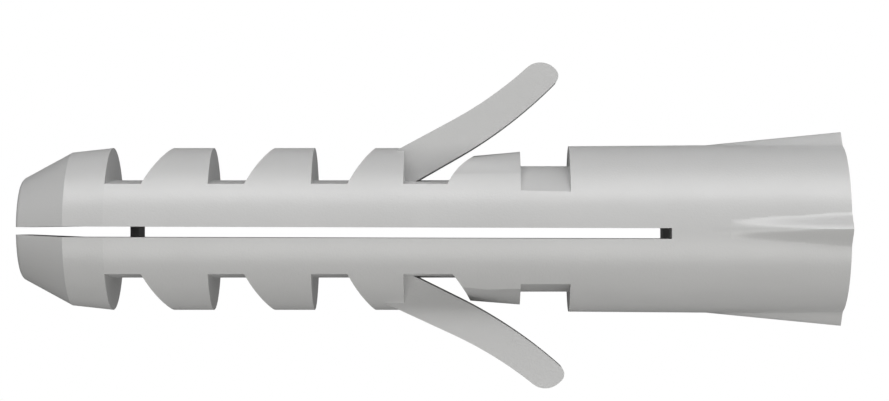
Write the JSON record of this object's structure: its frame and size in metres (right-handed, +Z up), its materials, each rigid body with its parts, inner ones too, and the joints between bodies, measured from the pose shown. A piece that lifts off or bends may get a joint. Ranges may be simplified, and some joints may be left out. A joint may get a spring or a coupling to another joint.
{
  "type": "nylon expansion plug",
  "caption": "Slit toothed plug for a drilled hole, with a screw bore in its collar, splayed anti-rotation tongues and fins at the mouth.",
  "frame": {"origin": "centre of the mouth, where the screw bore opens in the collar's flat end face", "axes": "+X along the plug's axis, out of the mouth towards the screw's head; the nose is at x = -50 mm. +Z is up as the plug lies on a level surface on its lower tongue, so the plane of the two tongues is rolled about 23 degrees about X from level"},
  "size_m": [0.05, 0.0198, 0.011],
  "materials": {
    "nylon": "matte moulded nylon, light grey"
  },
  "bodies": {
    "root": {"expansion_plug": "nylon"}
  },
  "joints": []
}
